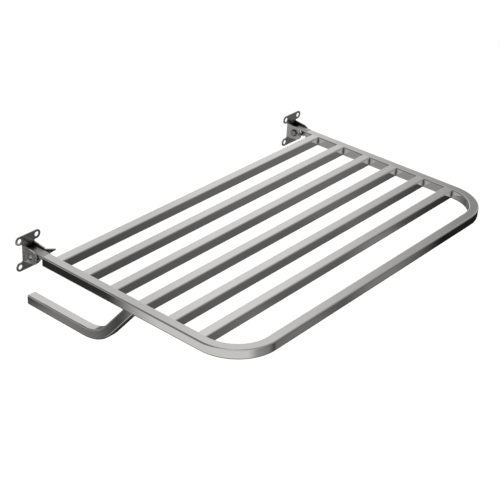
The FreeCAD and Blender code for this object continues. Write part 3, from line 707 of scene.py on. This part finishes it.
class TOWELRACK_OT_stage(RackOperator, bpy.types.Operator):
    """Set the floor, the soft studio light and the camera"""

    bl_idname = "towelrack.stage"
    bl_label = "Studio"

    def execute(self, context):
        stage = context.scene.towel_rack_stage
        self.floor(context, stage)
        self.surround(context, stage)
        self.softbox(context)
        self.camera(context, stage)
        context.scene.view_settings.view_transform = "Standard"
        return {"FINISHED"}

    @staticmethod
    def floor(context, stage):
        """A wide flat floor well below the rack, as below any rack on a wall."""
        reach = np.linspace(-6, 6, 9)
        x, y = np.meshgrid(reach, reach)
        grid = np.stack([x, y, np.full_like(x, -stage.floor_drop)], 2)
        floor = grid_object("studio_floor", grid[:, ::-1], around_closed=False)
        paint = floor_paint("matt_floor_paint", context.scene.towel_rack_finish.floor)
        floor.data.materials.append(paint)
        floor.visible_glossy = False

    @staticmethod
    def surround(context, stage):
        """Soft white light all round, and the cards of a studio as the polished steel sees them.

        The steel's surroundings are rows of cards by bearing. Each row runs in soft steps between
        pale and dark, and fades into the row below it.
        """
        world = bpy.data.worlds.new("studio_surround")
        context.scene.world = world
        world.use_nodes = True
        tree = world.node_tree
        tree.nodes.clear()
        place = add_node(tree, "ShaderNodeTexCoord")
        axes = add_node(tree, "ShaderNodeSeparateXYZ", links={"Vector": place.outputs["Generated"]})
        bearing = add_node(
            tree, "ShaderNodeMath", {"operation": "ARCTAN2"}, {0: axes.outputs["Y"], 1: axes.outputs["X"]}
        )
        turn = add_node(
            tree, "ShaderNodeMapRange", links={"Value": bearing.outputs[0]}, From_Min=-math.pi, From_Max=math.pi
        )
        tone, fade = None, None
        for fade_below, cards in CARD_ROWS:
            row = add_node(tree, "ShaderNodeValToRGB", links={"Fac": turn.outputs[0]})
            fill_ramp(row, [((degrees + 180) / 360, brightness) for degrees, brightness in cards])
            if tone is None:
                tone = row.outputs["Color"]
            else:
                share = add_node(
                    tree, "ShaderNodeMapRange", {"interpolation_type": "SMOOTHSTEP"},
                    {"Value": axes.outputs["Z"]}, From_Min=fade[0], From_Max=fade[1],
                )
                mixed = add_node(tree, "ShaderNodeMix", {"data_type": "RGBA"}, {"Factor": share.outputs[0]})
                tree.links.new(tone, mixed.inputs[6])
                tree.links.new(row.outputs["Color"], mixed.inputs[7])
                tone = mixed.outputs[2]
            fade = fade_below
        soft = add_node(tree, "ShaderNodeBackground", Color=(1, 1, 1, 1), Strength=stage.brightness)
        cards = add_node(tree, "ShaderNodeBackground", links={"Color": tone}, Strength=1.0)
        ray = add_node(tree, "ShaderNodeLightPath")
        both = add_node(tree, "ShaderNodeMixShader", links={"Fac": ray.outputs["Is Glossy Ray"]})
        tree.links.new(soft.outputs[0], both.inputs[1])
        tree.links.new(cards.outputs[0], both.inputs[2])
        output = add_node(tree, "ShaderNodeOutputWorld")
        tree.links.new(both.outputs[0], output.inputs["Surface"])

    @staticmethod
    def softbox(context):
        """One large soft light above and in front, for gentle shape on what isn't polished."""
        light = bpy.data.lights.new("softbox", "AREA")
        light.energy = 18.0
        light.size = 2.0
        lamp = bpy.data.objects.new("softbox", light)
        lamp.location = (-0.8, -1.4, 2.0)
        lamp.rotation_euler = (Vector((0, -0.2, 0)) - lamp.location).to_track_quat("-Z", "Y").to_euler()
        lamp.visible_glossy = False
        context.scene.collection.objects.link(lamp)

    @staticmethod
    def camera(context, stage):
        """The camera: azimuth round +Z from -Y, elevation above level, then roll about its axis."""
        a, e, r = stage.azimuth, stage.elevation, stage.roll
        back = Vector((math.sin(a) * math.cos(e), -math.cos(a) * math.cos(e), math.sin(e)))
        right = Vector((math.cos(a), math.sin(a), 0))
        up = back.cross(right)
        columns = (
            right * math.cos(r) + up * math.sin(r),
            up * math.cos(r) - right * math.sin(r),
            back,
        )
        data = bpy.data.cameras.new("camera")
        data.lens = stage.lens
        data.sensor_width = 36.0
        camera = bpy.data.objects.new("camera", data)
        camera.matrix_world = Matrix.Translation(stage.position) @ Matrix(columns).transposed().to_4x4()
        context.scene.collection.objects.link(camera)
        context.scene.camera = camera


OPERATORS = (
    TOWELRACK_OT_stage,
    TOWELRACK_OT_frame_tube,
    TOWELRACK_OT_slats,
    TOWELRACK_OT_hanging_rail,
    TOWELRACK_OT_welds,
    TOWELRACK_OT_brackets,
    TOWELRACK_OT_fasteners,
)


class TOWELRACK_PT_panel(bpy.types.Panel):
    """Lists the rack's pieces and the settings behind them"""

    bl_label = "Fold-up towel rack"
    bl_space_type = "VIEW_3D"
    bl_region_type = "UI"
    bl_category = "Towel rack"

    def draw(self, context):
        layout = self.layout
        for operator in OPERATORS:
            layout.operator(operator.bl_idname)
        for pointer, group in GROUPS:
            box = layout.box()
            for name in group.__annotations__:
                box.prop(getattr(context.scene, pointer), name)


GROUPS = (
    ("towel_rack_sizes", TowelRackSizes),
    ("towel_rack_finish", TowelRackFinish),
    ("towel_rack_stage", TowelRackStage),
)


def register():
    """Register the settings, the operators and the panel."""
    for name, group in GROUPS:
        bpy.utils.register_class(group)
        setattr(bpy.types.Scene, name, bpy.props.PointerProperty(type=group))
    for kind in (*OPERATORS, TOWELRACK_PT_panel):
        bpy.utils.register_class(kind)


def unregister():
    """Take all of it away again."""
    for kind in reversed((*OPERATORS, TOWELRACK_PT_panel)):
        bpy.utils.unregister_class(kind)
    for name, group in reversed(GROUPS):
        delattr(bpy.types.Scene, name)
        bpy.utils.unregister_class(group)


def main():
    register()
    for operator in OPERATORS:
        getattr(bpy.ops.towelrack, operator.bl_idname.split(".")[1])()
    bpy.context.view_layer.update()


if __name__ == "__main__":
    main()
